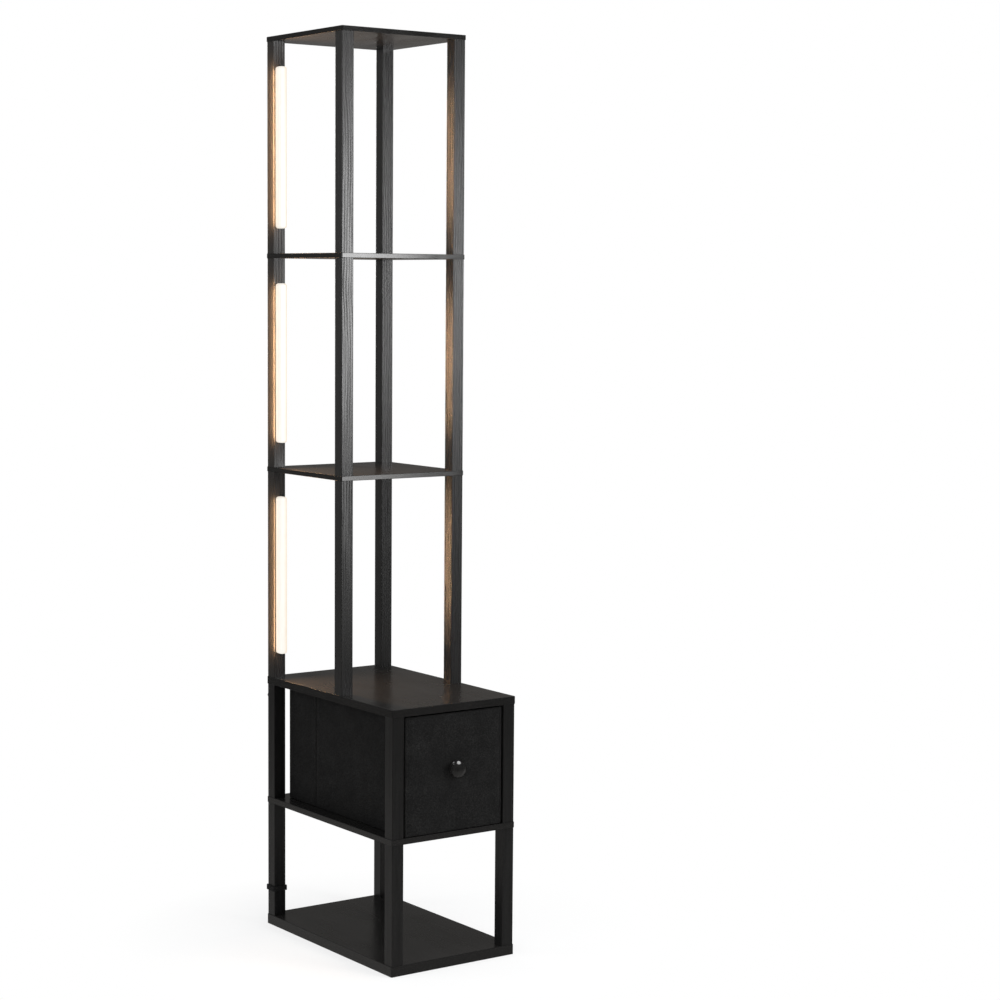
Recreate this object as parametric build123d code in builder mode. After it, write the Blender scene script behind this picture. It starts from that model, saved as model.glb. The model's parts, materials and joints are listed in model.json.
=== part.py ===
from build123d import *
from math import radians, tan
import os

# Shelf floor lamp: a lit tower of three open tiers on the back of a stand with one drawer.
# Millimetres, +Z up, the front faces -Y. The origin is the middle of the base board's underside.

# Boards
lamp_width = 254.0
stand_depth = 416.0
tower_depth = 254.0
base_thickness = 18.0
drawer_shelf_thickness = 10.5
table_thickness = 13.5
shelf_thickness = 8.5
board_corner = 1.6
board_ease = 0.7

# Posts and legs: square bars, one set between each two boards
post_side = 23.0
leg_height = 207.5
post_height = 372.5
overhang = 1.0
post_ease = 0.8

# Joint hardware: studs and bolts that turn into metal inserts in the ends of the bars
thread_diameter = 6.0
thread_clearance = 0.05
stud_length = 40.0
stud_chamfer = 0.6
insert_diameter = 9.0
insert_length = 13.0
insert_fit = 0.05
blind_skin = 4.0
blind_end_room = 0.5
bolt_clearance = 0.3
bolt_bite = 11.5
bolt_head_diameter = 12.0
bolt_head_height = 3.6
countersink_angle = 90.0
counterbore_clearance = 0.5
socket_width = 4.0
socket_depth = 1.9
pocket_end_room = 2.0

# Light bars: one on the front of each rear left tower post
bar_end_gap = 44.25
bar_width = 15.5
bar_depth = 15.0
bar_corner = 5.0
bar_round = 3.5
cover_wall = 1.5
cover_fit = 0.1
plate_thickness = 2.0
led_board_width = 8.0
led_board_thickness = 1.2
led_board_gap = 4.2
led_pitch = 12.0
led_width = 2.8
led_length = 3.5
led_height = 0.8
bar_screw_inset = 9.0
bar_screw_diameter = 3.0
bar_screw_end_wall = 4.0
bar_screw_head_diameter = 5.6
bar_screw_head_height = 1.8
bar_screw_clearance = 0.1

# Wiring: one lead from each bar, through its post and down a groove in the rear face
lead_diameter = 2.0
lead_spacing = 2.5
lead_bend = 3.0
lead_clearance = 0.5
lead_inset = 14.0
splice_length = 13.0
splice_thickness = 4.2
gland_drop = 23.5
gland_nose_diameter = 8.4
gland_nose_length = 13.0
gland_flange_diameter = 14.0
gland_flange_thickness = 2.0
gland_spigot_diameter = 9.0
gland_spigot_length = 5.0
gland_pocket_room = 3.0
gland_fit = 0.1
gland_round = 1.2
cord_bore_diameter = 5.2

# Strap that ties a cord to the rear left lower leg
strap_rise = 50.0
strap_height = 8.5
strap_thickness = 2.8
strap_fit = 0.1

# Fabric drawer bin, stiffened by boards between its cover and its lining
bin_side_gap = 3.0
bin_top_gap = 2.7
bin_rear_gap = 8.0
bin_recess = 0.7
bin_running_gap = 0.3
bin_corner = 3.0
cloth_thickness = 1.0
cloth_gap = 0.1
stiffener_thickness = 1.8
side_fold_gap = 3.0
floor_board_thickness = 2.5
floor_board_gap = 1.0

# Drawer knob: a mushroom on a round foot
knob_rise = 6.5
knob_head_diameter = 30.0
knob_rim_round = 3.0
knob_neck_diameter = 13.0
knob_waist_flare = 2.0
knob_foot_diameter = 22.0
knob_foot_height = 3.0
knob_underhead = 13.0
knob_dome_height = 8.0
knob_screw_diameter = 4.0
knob_screw_bite = 10.0
knob_screw_head_diameter = 8.0
knob_screw_head_height = 2.4
knob_hole_clearance = 0.2
washer_diameter = 12.0
washer_thickness = 1.0

# Levels
drawer_shelf_bottom = base_thickness + leg_height
drawer_shelf_top = drawer_shelf_bottom + drawer_shelf_thickness
table_bottom = drawer_shelf_top + leg_height
table_surface = table_bottom + table_thickness
lower_shelf_bottom = table_surface + post_height
lower_shelf_top = lower_shelf_bottom + shelf_thickness
upper_shelf_bottom = lower_shelf_top + post_height
upper_shelf_top = upper_shelf_bottom + shelf_thickness
top_board_bottom = upper_shelf_top + post_height
lamp_height = top_board_bottom + shelf_thickness

# Plan: board edges, and the middles of the posts and legs
stand_front = -stand_depth / 2
stand_rear = stand_depth / 2
tower_front = stand_rear - tower_depth
post_inset = overhang + post_side / 2
post_x = lamp_width / 2 - post_inset
rear_row = stand_rear - post_inset
stand_front_row = stand_front + post_inset
tower_front_row = tower_front + post_inset
leg_places = {
    "front_left": (-post_x, stand_front_row),
    "front_right": (post_x, stand_front_row),
    "rear_left": (-post_x, rear_row),
    "rear_right": (post_x, rear_row),
}
post_places = {
    "front_left": (-post_x, tower_front_row),
    "front_right": (post_x, tower_front_row),
    "rear_left": (-post_x, rear_row),
    "rear_right": (post_x, rear_row),
}
front_leg_places = [leg_places["front_left"], leg_places["front_right"]]
rear_places = [leg_places["rear_left"], leg_places["rear_right"]]
tower_front_places = [post_places["front_left"], post_places["front_right"]]
all_leg_places = list(leg_places.values())
all_post_places = list(post_places.values())
tier_floors = {"lower": table_surface, "middle": lower_shelf_top, "upper": upper_shelf_top}

# Sizes that follow from the hardware
stud_hole_radius = thread_diameter / 2 + bolt_clearance
insert_bore_radius = insert_diameter / 2 + insert_fit
thinnest_board = min(drawer_shelf_thickness, table_thickness, shelf_thickness)
stud_bite = (stud_length - thinnest_board) / 2
pocket_depth = max(stud_bite, bolt_bite, insert_length) + pocket_end_room
countersink_radius = bolt_head_diameter / 2 + bolt_clearance
counterbore_radius = bolt_head_diameter / 2 + counterbore_clearance
counterbore_depth = bolt_head_height + counterbore_clearance
blind_pocket_depth = table_thickness - blind_skin
blind_insert_length = blind_pocket_depth - blind_end_room
countersunk_head = (bolt_head_diameter - thread_diameter) / 2 / tan(radians(countersink_angle / 2))

# The lamp posts' front and rear faces, and the groove for the leads
lamp_post_x = -post_x
lamp_post_front = rear_row - post_side / 2
lamp_post_rear = rear_row + post_side / 2
lead_groove_width = 2 * lead_spacing + lead_diameter + 2 * lead_clearance
lead_groove_depth = lead_bend + lead_diameter
lead_line = lamp_post_rear - lead_diameter
lead_offsets = {"lower": lead_spacing, "middle": 0.0, "upper": -lead_spacing}
lead_hole_radius = lead_diameter / 2 + lead_clearance
gland_z = table_bottom - gland_drop
splice_bottom = gland_z + gland_spigot_diameter / 2 + lead_clearance
splice_top = splice_bottom + splice_length

# The light bar's length and what its ends leave for the parts inside
bar_length = post_height - 2 * bar_end_gap
plate_width = bar_width - 2 * (cover_wall + cover_fit)
plate_length = bar_length - 2 * (cover_wall + cover_fit)
plate_corner = bar_corner - cover_wall
bar_screw_reach = bar_length / 2 - bar_screw_inset
bar_screw_bite = post_side - lead_groove_depth - bar_screw_end_wall
led_board_length = 2 * (bar_screw_reach - bar_screw_head_diameter / 2 - led_board_gap)
led_count = int((led_board_length - led_length) / led_pitch) + 1
lead_reach = led_board_length / 2 - lead_inset

# The bin's outside and the nested walls inside it
bin_width = lamp_width - 2 * (overhang + post_side + bin_side_gap)
bin_front = stand_front + overhang + bin_recess
bin_rear = lamp_post_front - bin_rear_gap
bin_bottom = drawer_shelf_top + bin_running_gap
bin_top = table_bottom - bin_top_gap
bin_height = bin_top - bin_bottom
bin_depth = bin_rear - bin_front
bin_middle = (bin_front + bin_rear) / 2
stiffener_skin = cloth_thickness + cloth_gap
lining_skin = stiffener_skin + stiffener_thickness + cloth_gap
mouth_skin = lining_skin + cloth_thickness
stiffener_bottom = bin_bottom + stiffener_skin
stiffener_height = bin_height - 2 * stiffener_skin
lining_floor = stiffener_bottom + cloth_thickness
knob_z = (bin_bottom + bin_top) / 2 + knob_rise


def save(piece, name):
    """Label a finished piece and write it to its own file."""
    piece.part.label = name
    export_step(piece.part, f"parts/{name}.step")


def facing_down(places, z):
    """Planes at the places, turned so that a hole is drilled upwards from height z."""
    return [Plane((x, y, z), z_dir=(0, 0, -1)) for x, y in places]


def at_height(places, z):
    """The places as points at height z."""
    return [(x, y, z) for x, y in places]


def bar_plane(tier, out=0.0):
    """The plane of a lamp post's front face at the middle of its tier, moved out to the front."""
    middle = tier_floors[tier] + post_height / 2
    return Plane((lamp_post_x, lamp_post_front - out, middle), x_dir=(1, 0, 0), z_dir=(0, -1, 0))


def make_board(
    name, front, bottom, thickness, studs=(), sunk_up=(), sunk_down=(), bored=(), blind=(), notched=False
):
    """A laminated board from its front edge to the rear of the stand, with the holes of its joints."""
    with BuildPart() as board:
        with BuildSketch(Plane.XY.offset(bottom)):
            with Locations((0, (front + stand_rear) / 2)):
                RectangleRounded(lamp_width, stand_rear - front, board_corner)
        extrude(amount=thickness)
        fillet(board.edges().filter_by(Plane.XY), radius=board_ease)
        if studs:
            with Locations(*at_height(studs, bottom + thickness)):
                Hole(radius=stud_hole_radius)
        if sunk_up:
            with Locations(*facing_down(sunk_up, bottom)):
                CounterSinkHole(stud_hole_radius, countersink_radius, counter_sink_angle=countersink_angle)
        if sunk_down:
            with Locations(*at_height(sunk_down, bottom + thickness)):
                CounterSinkHole(stud_hole_radius, countersink_radius, counter_sink_angle=countersink_angle)
        if bored:
            with Locations(*facing_down(bored, bottom)):
                CounterBoreHole(stud_hole_radius, counterbore_radius, counterbore_depth)
        if blind:
            with Locations(*facing_down(blind, bottom)):
                Hole(radius=insert_bore_radius, depth=blind_pocket_depth)
        if notched:
            notch_front = lamp_post_rear - lead_groove_depth
            with BuildSketch(Plane.XY.offset(bottom)):
                with Locations((lamp_post_x, (notch_front + stand_rear) / 2)):
                    Rectangle(lead_groove_width, stand_rear - notch_front)
            extrude(amount=thickness, mode=Mode.SUBTRACT)
    save(board, name)


def make_upright(place, bottom, height):
    """A square post or leg with a stepped pocket for an insert in each end."""
    with BuildPart() as upright:
        with BuildSketch(Plane.XY.offset(bottom)):
            with Locations(place):
                RectangleRounded(post_side, post_side, post_ease)
        extrude(amount=height)
        with Locations(*at_height([place], bottom + height), *facing_down([place], bottom)):
            CounterBoreHole(stud_hole_radius, insert_bore_radius, insert_length, depth=pocket_depth)
    return upright


def make_lamp_post(tier):
    """A rear left tower post, drilled for its light bar and grooved behind for the leads."""
    blank = make_upright(post_places["rear_left"], tier_floors[tier], post_height)
    with BuildPart() as post:
        add(blank.part)
        with BuildSketch(Plane.XY.offset(tier_floors[tier])):
            with Locations((lamp_post_x, lamp_post_rear - lead_groove_depth / 2)):
                Rectangle(lead_groove_width, lead_groove_depth)
        extrude(amount=post_height, mode=Mode.SUBTRACT)
        with Locations(bar_plane(tier)):
            with Locations((lead_offsets[tier], -lead_reach)):
                Hole(radius=lead_hole_radius, depth=post_side)
            with Locations((0, bar_screw_reach), (0, -bar_screw_reach)):
                Hole(radius=bar_screw_diameter / 2 + thread_clearance, depth=bar_screw_bite)
    save(post, f"{tier}_post_rear_left")


def make_gland_leg():
    """The rear left upper leg, grooved behind down to the pocket of the cord gland."""
    blank = make_upright(leg_places["rear_left"], drawer_shelf_top, leg_height)
    with BuildPart() as leg:
        add(blank.part)
        with BuildSketch(Plane.XY.offset(gland_z)):
            with Locations((lamp_post_x, lamp_post_rear - lead_groove_depth / 2)):
                Rectangle(lead_groove_width, lead_groove_depth)
        extrude(amount=table_bottom - gland_z, mode=Mode.SUBTRACT)
        with Locations(Plane((lamp_post_x, lamp_post_rear, gland_z), z_dir=(0, 1, 0))):
            Hole(radius=gland_spigot_diameter / 2 + gland_fit, depth=gland_spigot_length + gland_pocket_room)
    save(leg, "upper_leg_rear_left")


def make_light_bar(tier):
    """The plate, the circuit board and the opal cover of one light bar."""
    with BuildPart() as plate:
        with BuildSketch(bar_plane(tier)):
            RectangleRounded(plate_width, plate_length, plate_corner)
            with Locations((0, bar_screw_reach), (0, -bar_screw_reach)):
                Circle(bar_screw_diameter / 2 + bar_screw_clearance, mode=Mode.SUBTRACT)
            with Locations((lead_offsets[tier], -lead_reach)):
                Circle(lead_hole_radius, mode=Mode.SUBTRACT)
        extrude(amount=plate_thickness)
    save(plate, f"{tier}_bar_plate")

    with BuildPart() as led_board:
        with BuildSketch(bar_plane(tier, plate_thickness)):
            Rectangle(led_board_width, led_board_length)
        extrude(amount=led_board_thickness)
    save(led_board, f"{tier}_bar_led_board")

    with BuildPart() as cover:
        with BuildSketch(bar_plane(tier)):
            RectangleRounded(bar_width, bar_length, bar_corner)
        extrude(amount=bar_depth)
        fillet(cover.faces().sort_by(Axis.Y)[0].edges(), radius=bar_round)
        with BuildSketch(bar_plane(tier)):
            RectangleRounded(bar_width - 2 * cover_wall, bar_length - 2 * cover_wall, bar_corner - cover_wall)
        extrude(amount=bar_depth - cover_wall, mode=Mode.SUBTRACT)
        inner_front = cover.faces().filter_by(Axis.Y).sort_by(Axis.Y)[1]
        fillet(inner_front.edges(), radius=bar_round - cover_wall)
    save(cover, f"{tier}_bar_cover")


def make_lead(tier):
    """One bar's lead: back through the post, round a bend and down the groove to the splice."""
    x = lamp_post_x + lead_offsets[tier]
    z = tier_floors[tier] + post_height / 2 - lead_reach
    with BuildPart() as lead:
        with BuildLine() as route:
            FilletPolyline(
                (x, lamp_post_front - plate_thickness, z),
                (x, lead_line, z),
                (x, lead_line, splice_top),
                radius=lead_bend,
            )
        with BuildSketch(Plane(route.line @ 0, z_dir=route.line % 0)):
            Circle(lead_diameter / 2)
        sweep(path=route.line)
    save(lead, f"{tier}_bar_lead")


def make_bolts(name, places, seat, length, upwards, countersunk):
    """Bolts with a hex socket: seat is the height of the head's outer face, length is under the head."""
    outward = (0, 0, -1) if upwards else (0, 0, 1)
    head_height = countersunk_head if countersunk else bolt_head_height
    head_taper = countersink_angle / 2 if countersunk else 0
    with BuildPart() as bolts:
        for x, y in places:
            head_face = Plane((x, y, seat), x_dir=(1, 0, 0), z_dir=outward)
            with BuildSketch(head_face):
                Circle(bolt_head_diameter / 2)
            extrude(amount=-head_height, taper=head_taper)
            with BuildSketch(head_face):
                Circle(thread_diameter / 2)
            extrude(amount=-(head_height + length))
            with BuildSketch(head_face):
                RegularPolygon(socket_width / 2, 6, major_radius=False)
            extrude(amount=-socket_depth, mode=Mode.SUBTRACT)
    save(bolts, name)


def make_inserts(name, planes, length):
    """Plain metal sleeves whose open ends lie on the planes, which face out of the bars."""
    with BuildPart() as inserts:
        for plane in planes:
            with BuildSketch(plane):
                Circle(insert_diameter / 2)
                Circle(thread_diameter / 2 + thread_clearance, mode=Mode.SUBTRACT)
            extrude(amount=-length)
    save(inserts, name)


def make_studs(name, middles, length):
    """Plain studs that stand on end about their middles."""
    with BuildPart() as studs:
        with Locations(*middles):
            Cylinder(thread_diameter / 2, length)
        chamfer(studs.edges().filter_by(GeomType.CIRCLE), length=stud_chamfer)
    save(studs, name)


os.makedirs("parts", exist_ok=True)

# Boards, from the floor up
make_board("base_board", stand_front, 0, base_thickness, bored=all_leg_places)
make_board("drawer_shelf", stand_front, drawer_shelf_bottom, drawer_shelf_thickness, studs=all_leg_places)
make_board(
    "table_top",
    stand_front,
    table_bottom,
    table_thickness,
    studs=rear_places,
    sunk_up=tower_front_places,
    blind=front_leg_places,
    notched=True,
)
for name, bottom in (("lower_shelf", lower_shelf_bottom), ("upper_shelf", upper_shelf_bottom)):
    make_board(name, tower_front, bottom, shelf_thickness, studs=all_post_places, notched=True)
make_board("top_board", tower_front, top_board_bottom, shelf_thickness, sunk_down=all_post_places)

# Legs of the stand and posts of the tower
for corner, place in leg_places.items():
    save(make_upright(place, base_thickness, leg_height), f"lower_leg_{corner}")
    if corner != "rear_left":
        save(make_upright(place, drawer_shelf_top, leg_height), f"upper_leg_{corner}")
make_gland_leg()
for tier, floor in tier_floors.items():
    for corner, place in post_places.items():
        if corner != "rear_left":
            save(make_upright(place, floor, post_height), f"{tier}_post_{corner}")
    make_lamp_post(tier)

# Inserts in both ends of every bar, and in the underside of the table over the front legs
insert_planes = []
for floor in (base_thickness, drawer_shelf_top):
    insert_planes += facing_down(all_leg_places, floor)
    insert_planes += [Plane(point) for point in at_height(all_leg_places, floor + leg_height)]
for floor in tier_floors.values():
    insert_planes += facing_down(all_post_places, floor)
    insert_planes += [Plane(point) for point in at_height(all_post_places, floor + post_height)]
make_inserts("threaded_inserts", insert_planes, insert_length)
make_inserts("table_inserts", facing_down(front_leg_places, table_bottom), blind_insert_length)

# Studs through the boards, and short ones from the front legs up into the table
stud_middles = at_height(all_leg_places, (drawer_shelf_bottom + drawer_shelf_top) / 2)
stud_middles += at_height(rear_places, (table_bottom + table_surface) / 2)
stud_middles += at_height(all_post_places, (lower_shelf_bottom + lower_shelf_top) / 2)
stud_middles += at_height(all_post_places, (upper_shelf_bottom + upper_shelf_top) / 2)
make_studs("joint_studs", stud_middles, stud_length)
make_studs("table_studs", at_height(front_leg_places, table_bottom), 2 * blind_insert_length)

# Bolts: up through the base and the table, and down through the top
base_bolt_seat = counterbore_clearance
base_bolt_length = base_thickness - counterbore_depth + bolt_bite
make_bolts("base_bolts", all_leg_places, base_bolt_seat, base_bolt_length, True, False)
table_bolt_length = table_thickness + bolt_bite - countersunk_head
make_bolts("table_bolts", tower_front_places, table_bottom, table_bolt_length, True, True)
top_bolt_length = shelf_thickness + bolt_bite - countersunk_head
make_bolts("top_bolts", all_post_places, lamp_height, top_bolt_length, False, True)

# Light bars, their lights, their screws and their leads
for tier in tier_floors:
    make_light_bar(tier)
    make_lead(tier)
with BuildPart() as leds:
    for tier in tier_floors:
        with BuildSketch(bar_plane(tier, plate_thickness + led_board_thickness)):
            with GridLocations(led_width, led_pitch, 1, led_count):
                Rectangle(led_width, led_length)
        extrude(amount=led_height)
save(leds, "bar_leds")
with BuildPart() as bar_screws:
    for tier in tier_floors:
        for reach in (bar_screw_reach, -bar_screw_reach):
            with BuildSketch(bar_plane(tier, plate_thickness)):
                with Locations((0, reach)):
                    Circle(bar_screw_head_diameter / 2)
            extrude(amount=bar_screw_head_height)
            with BuildSketch(bar_plane(tier, plate_thickness)):
                with Locations((0, reach)):
                    Circle(bar_screw_diameter / 2)
            extrude(amount=-(plate_thickness + bar_screw_bite))
save(bar_screws, "bar_screws")

# Splice at the foot of the leads, in the groove above the gland
with BuildPart() as splice:
    with BuildSketch(Plane.XY.offset(splice_bottom)):
        with Locations((lamp_post_x, lamp_post_rear - splice_thickness / 2)):
            RectangleRounded(lead_groove_width - 2 * gland_fit, splice_thickness, lead_diameter / 2)
    extrude(amount=splice_length)
save(splice, "lead_splice")

# Gland that a supply cord comes in by: spigot in its pocket, flange on the leg, and nose
with BuildPart() as gland:
    leg_face = Plane((lamp_post_x, lamp_post_rear, gland_z), x_dir=(-1, 0, 0), z_dir=(0, 1, 0))
    with BuildSketch(leg_face):
        Circle(gland_spigot_diameter / 2)
    extrude(amount=-gland_spigot_length)
    with BuildSketch(leg_face):
        Circle(gland_flange_diameter / 2)
    extrude(amount=gland_flange_thickness)
    with BuildSketch(leg_face.offset(gland_flange_thickness)):
        Circle(gland_nose_diameter / 2)
    extrude(amount=gland_nose_length)
    fillet(gland.faces().sort_by(Axis.Y)[-1].edges(), radius=gland_round)
    with Locations(leg_face.offset(gland_flange_thickness + gland_nose_length)):
        Hole(radius=cord_bore_diameter / 2)
save(gland, "cord_gland")

# Strap round the rear left lower leg
with BuildPart() as strap:
    strap_inside = post_side + 2 * strap_fit
    with BuildSketch(Plane.XY.offset(base_thickness + strap_rise - strap_height / 2)):
        with Locations(leg_places["rear_left"]):
            RectangleRounded(
                strap_inside + 2 * strap_thickness,
                strap_inside + 2 * strap_thickness,
                post_ease + strap_thickness,
            )
            RectangleRounded(strap_inside, strap_inside, post_ease, mode=Mode.SUBTRACT)
    extrude(amount=strap_height)
save(strap, "cord_strap")

# Bin cover: cloth walls and floor, with a hem that turns in over the stiffeners
front_of_bin = Plane((0, bin_front, knob_z), x_dir=(1, 0, 0), z_dir=(0, -1, 0))
knob_hole_radius = knob_screw_diameter / 2 + knob_hole_clearance
with BuildPart() as cover:
    with BuildSketch(Plane.XY.offset(bin_bottom)):
        with Locations((0, bin_middle)):
            RectangleRounded(bin_width, bin_depth, bin_corner)
    extrude(amount=bin_height)
    with BuildSketch(Plane.XY.offset(bin_bottom + cloth_thickness)):
        with Locations((0, bin_middle)):
            RectangleRounded(
                bin_width - 2 * cloth_thickness,
                bin_depth - 2 * cloth_thickness,
                bin_corner - cloth_thickness,
            )
    extrude(amount=bin_height - 2 * cloth_thickness, mode=Mode.SUBTRACT)
    with BuildSketch(Plane.XY.offset(bin_top - cloth_thickness)):
        with Locations((0, bin_middle)):
            Rectangle(bin_width - 2 * mouth_skin, bin_depth - 2 * mouth_skin)
    extrude(amount=cloth_thickness, mode=Mode.SUBTRACT)
    with Locations(front_of_bin):
        Hole(radius=knob_hole_radius, depth=mouth_skin)
save(cover, "bin_cover")

# Bin lining: the cloth inside the stiffeners
with BuildPart() as lining:
    with BuildSketch(Plane.XY.offset(stiffener_bottom)):
        with Locations((0, bin_middle)):
            Rectangle(bin_width - 2 * lining_skin, bin_depth - 2 * lining_skin)
    extrude(amount=stiffener_height)
    with BuildSketch(Plane.XY.offset(lining_floor)):
        with Locations((0, bin_middle)):
            Rectangle(bin_width - 2 * mouth_skin, bin_depth - 2 * mouth_skin)
    extrude(amount=stiffener_height - cloth_thickness, mode=Mode.SUBTRACT)
    with Locations(front_of_bin):
        Hole(radius=knob_hole_radius, depth=mouth_skin)
save(lining, "bin_lining")

# Stiffeners in the bin's ends, the front one drilled for the knob's screw
end_stiffener_width = bin_width - 2 * bin_corner
stiffener_inset = stiffener_skin + stiffener_thickness / 2
with BuildPart() as end_stiffeners:
    with BuildSketch(Plane.XY.offset(stiffener_bottom)):
        with Locations((0, bin_front + stiffener_inset), (0, bin_rear - stiffener_inset)):
            Rectangle(end_stiffener_width, stiffener_thickness)
    extrude(amount=stiffener_height)
    with Locations(front_of_bin):
        Hole(radius=knob_hole_radius, depth=mouth_skin)
save(end_stiffeners, "bin_end_stiffeners")

# Stiffeners in the bin's sides, in halves that let each side fold in the middle
side_stiffener_x = bin_width / 2 - stiffener_inset
side_stiffener_span = bin_depth - 2 * lining_skin
side_stiffener_length = (side_stiffener_span - side_fold_gap) / 2
with BuildPart() as side_stiffeners:
    with BuildSketch(Plane.XY.offset(stiffener_bottom)):
        with Locations((0, bin_middle)):
            with GridLocations(2 * side_stiffener_x, side_stiffener_length + side_fold_gap, 2, 2):
                Rectangle(stiffener_thickness, side_stiffener_length)
    extrude(amount=stiffener_height)
save(side_stiffeners, "bin_side_stiffeners")

# Loose board on the bin's floor
with BuildPart() as floor_board:
    with BuildSketch(Plane.XY.offset(lining_floor + cloth_gap)):
        with Locations((0, bin_middle)):
            floor_skin = mouth_skin + floor_board_gap
            RectangleRounded(bin_width - 2 * floor_skin, bin_depth - 2 * floor_skin, bin_corner)
    extrude(amount=floor_board_thickness)
save(floor_board, "bin_floor_board")

# Knob: foot, waist and domed head, turned about its screw's line
head_radius = knob_head_diameter / 2
neck_radius = knob_neck_diameter / 2
foot_radius = knob_foot_diameter / 2
foot_round = knob_foot_height / 2
rim_start = knob_underhead + knob_rim_round
knob_tip = rim_start + knob_dome_height
waist_radius = neck_radius + knob_waist_flare
foot_top = (foot_radius - foot_round, -knob_foot_height)
head_underside = (head_radius - knob_rim_round, -knob_underhead)
with BuildPart() as knob:
    with BuildSketch(Plane((0, bin_front, knob_z), x_dir=(1, 0, 0), z_dir=(0, 0, 1))):
        with BuildLine():
            Polyline((0, -knob_tip), (0, 0), (foot_radius, 0), (foot_radius, -foot_round))
            TangentArc((foot_radius, -foot_round), foot_top, tangent=(0, -1))
            Line(foot_top, (waist_radius, -knob_foot_height))
            ThreePointArc(
                (waist_radius, -knob_foot_height),
                (neck_radius, -(knob_foot_height + knob_underhead) / 2),
                (waist_radius, -knob_underhead),
            )
            Line((waist_radius, -knob_underhead), head_underside)
            TangentArc(head_underside, (head_radius, -rim_start), tangent=(1, 0))
            TangentArc((0, -knob_tip), (head_radius, -rim_start), tangent=(1, 0))
        make_face()
    revolve(axis=Axis((0, bin_front, knob_z), (0, 1, 0)))
    with Locations(Plane((0, bin_front, knob_z), z_dir=(0, 1, 0))):
        Hole(radius=knob_screw_diameter / 2 + thread_clearance, depth=knob_screw_bite + pocket_end_room)
save(knob, "bin_knob")

# Knob's screw from inside the bin, on its washer
inside_of_bin = Plane((0, bin_front + mouth_skin, knob_z), x_dir=(-1, 0, 0), z_dir=(0, 1, 0))
with BuildPart() as washer:
    with BuildSketch(inside_of_bin):
        Circle(washer_diameter / 2)
        Circle(knob_hole_radius, mode=Mode.SUBTRACT)
    extrude(amount=washer_thickness)
save(washer, "knob_washer")
with BuildPart() as knob_screw:
    with BuildSketch(inside_of_bin.offset(washer_thickness)):
        Circle(knob_screw_head_diameter / 2)
    extrude(amount=knob_screw_head_height)
    with BuildSketch(inside_of_bin.offset(washer_thickness)):
        Circle(knob_screw_diameter / 2)
    extrude(amount=-(washer_thickness + mouth_skin + knob_screw_bite))
save(knob_screw, "knob_screw")
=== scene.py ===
# %% [markdown]
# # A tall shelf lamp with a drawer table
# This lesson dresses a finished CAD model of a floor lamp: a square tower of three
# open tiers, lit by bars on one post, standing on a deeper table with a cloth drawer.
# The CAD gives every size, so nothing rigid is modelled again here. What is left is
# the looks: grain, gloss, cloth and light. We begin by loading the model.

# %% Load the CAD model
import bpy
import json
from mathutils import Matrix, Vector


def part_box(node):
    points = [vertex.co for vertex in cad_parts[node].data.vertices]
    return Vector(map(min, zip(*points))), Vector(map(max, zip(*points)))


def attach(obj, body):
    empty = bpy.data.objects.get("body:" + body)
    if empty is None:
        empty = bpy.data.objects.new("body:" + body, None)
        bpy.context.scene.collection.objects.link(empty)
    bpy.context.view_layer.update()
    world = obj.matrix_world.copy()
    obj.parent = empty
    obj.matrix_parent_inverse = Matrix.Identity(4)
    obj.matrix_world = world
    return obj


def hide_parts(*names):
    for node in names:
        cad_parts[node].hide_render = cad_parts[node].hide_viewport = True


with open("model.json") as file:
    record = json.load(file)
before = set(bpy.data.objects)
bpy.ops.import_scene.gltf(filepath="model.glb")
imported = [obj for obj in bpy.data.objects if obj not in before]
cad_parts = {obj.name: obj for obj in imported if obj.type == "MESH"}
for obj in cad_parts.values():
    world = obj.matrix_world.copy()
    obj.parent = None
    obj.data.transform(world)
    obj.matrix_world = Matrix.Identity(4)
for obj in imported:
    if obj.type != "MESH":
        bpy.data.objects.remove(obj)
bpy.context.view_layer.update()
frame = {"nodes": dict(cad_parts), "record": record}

nodes = frame["nodes"]

# %% [markdown]
# ## The camera
# The photograph was taken from the front left, at about the height of the upper shelf,
# with a long lens. A camera could be placed by eye, but then no edge would ever line up.
# The numbers here come from matching the corners of the boards with a perspective
# camera, so edges land within a few pixels of the photograph's, and tones can be compared
# place by place. We use no lens shift, because the other views keep it and the lamp would
# slide out of them.

# %% Camera at the photograph's angle
import math

import bpy
from mathutils import Matrix, Vector

camera_place = Vector((-2.2453, -3.4598, 1.167))
camera_heading = 0.6230
camera_tilt = -0.0914
camera_roll = 0.0077
focal_length_pixels = 2350.1
picture_pixels = 1000
sensor_millimetres = 36.0

forward = Vector((
    math.sin(camera_heading) * math.cos(camera_tilt),
    math.cos(camera_heading) * math.cos(camera_tilt),
    math.sin(camera_tilt),
))
level_right = Vector((math.cos(camera_heading), -math.sin(camera_heading), 0))
level_up = level_right.cross(forward)
right = level_right * math.cos(camera_roll) + level_up * math.sin(camera_roll)
up = level_up * math.cos(camera_roll) - level_right * math.sin(camera_roll)
camera_turn = Matrix((right, up, -forward)).transposed().to_4x4()

bpy.ops.object.select_all(action="DESELECT")
bpy.ops.object.camera_add()
camera = bpy.context.object
camera.name = "photo_camera"
camera.matrix_world = Matrix.Translation(camera_place) @ camera_turn
camera.data.sensor_width = sensor_millimetres
camera.data.lens = focal_length_pixels * sensor_millimetres / picture_pixels
camera.data.clip_end = 50
bpy.context.scene.camera = camera
print("lens:", round(camera.data.lens, 2), "mm")

# %% [markdown]
# ## Helpers for materials
# Every finish on this lamp is a small network of nodes. Linking them by hand in a
# script gets long, so one helper adds a node, sets it, and links whatever sockets it
# is handed, and the others are built on it. All patterns read Object coordinates: the
# CAD pieces sit at the origin, so those are real metres on the lamp, and a grain has the
# same scale on every board.

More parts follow.
